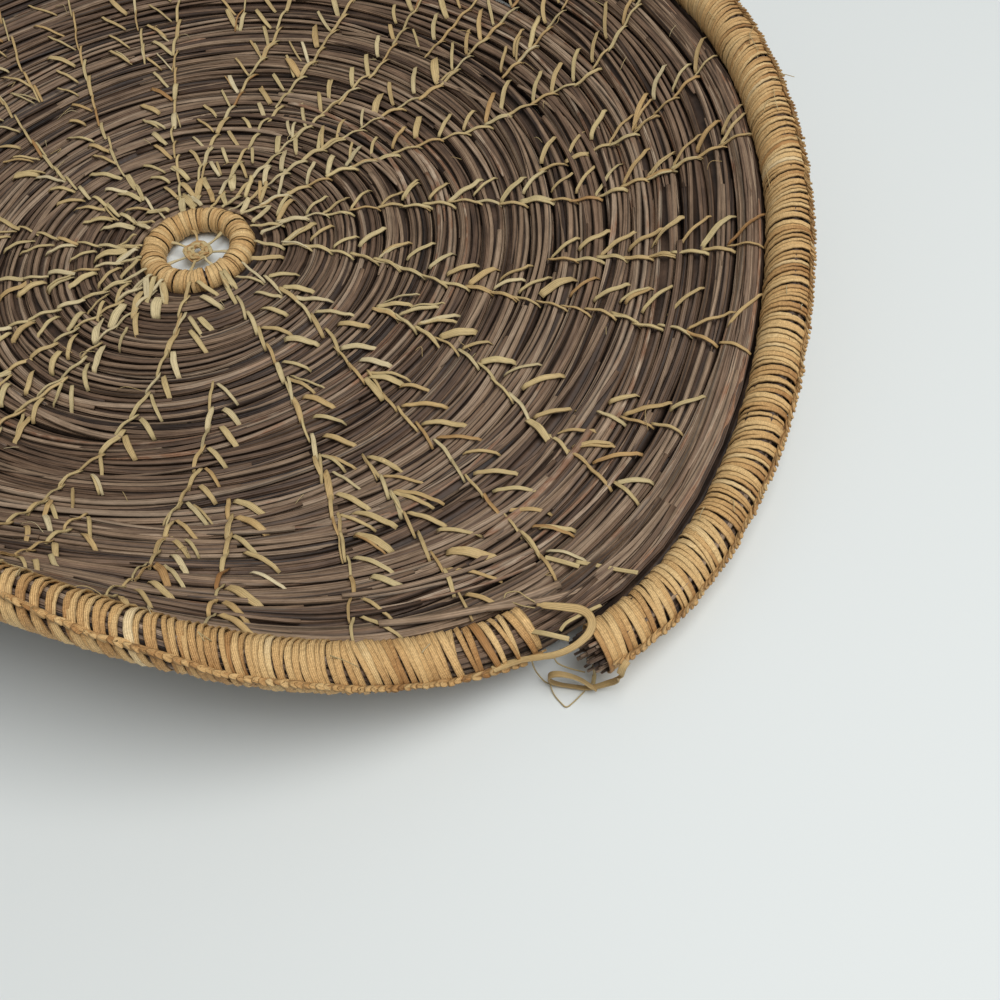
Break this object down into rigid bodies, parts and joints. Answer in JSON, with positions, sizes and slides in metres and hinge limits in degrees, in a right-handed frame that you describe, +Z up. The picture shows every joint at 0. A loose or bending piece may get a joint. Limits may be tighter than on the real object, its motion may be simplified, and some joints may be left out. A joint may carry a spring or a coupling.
{
  "type": "coiled basket tray",
  "caption": "Shallow coiled tray of pine needle bundles sewn with rays of raffia stitches, with a lashed rim, a wrapped eye ring and loose raffia ends where the rim is unfinished.",
  "frame": {"origin": "on the surface that the tray stands on, under the middle of its outline without the loose raffia ends", "axes": "+Z up through the tray; -Y is the near side, towards the break in the rim; +X is to its right"},
  "size_m": [0.2792, 0.2714, 0.0571],
  "materials": {
    "needles": "dry, matt pine needles",
    "rim_raffia": "dry raffia with a low sheen",
    "stitch_raffia": "dry raffia with a low sheen"
  },
  "bodies": {
    "root": {"needle_coil": "needles", "rim_lashing": "rim_raffia", "rim_braid": "rim_raffia", "eye_bundle": "needles", "eye_wrap": "rim_raffia", "eye_web": "stitch_raffia", "stitch_ray_01": "stitch_raffia", "stitch_ray_02": "stitch_raffia", "stitch_ray_03": "stitch_raffia", "stitch_ray_04": "stitch_raffia", "stitch_ray_05": "stitch_raffia", "stitch_ray_06": "stitch_raffia", "stitch_ray_07": "stitch_raffia", "stitch_ray_08": "stitch_raffia", "stitch_ray_09": "stitch_raffia", "stitch_ray_10": "stitch_raffia", "stitch_ray_11": "stitch_raffia", "stitch_ray_12": "stitch_raffia", "stitch_ray_13": "stitch_raffia", "stitch_ray_14": "stitch_raffia", "stitch_ray_15": "stitch_raffia", "stitch_ray_16": "stitch_raffia", "stitch_ray_17": "stitch_raffia", "stitch_ray_18": "stitch_raffia", "stitch_ray_19": "stitch_raffia", "stitch_ray_20": "stitch_raffia", "stitch_ray_21": "stitch_raffia", "stitch_ray_22": "stitch_raffia", "stitch_ray_23": "stitch_raffia", "stitch_ray_24": "stitch_raffia", "stitch_ray_25": "stitch_raffia", "stitch_ray_26": "stitch_raffia", "stitch_ray_27": "stitch_raffia", "stitch_ray_28": "stitch_raffia", "stitch_ray_29": "stitch_raffia", "stitch_ray_30": "stitch_raffia", "stitch_ray_31": "stitch_raffia", "stitch_ray_32": "stitch_raffia", "stitch_ray_33": "stitch_raffia", "stitch_ray_34": "stitch_raffia", "raffia_tail": "stitch_raffia", "raffia_loop": "stitch_raffia"}
  },
  "joints": []
}
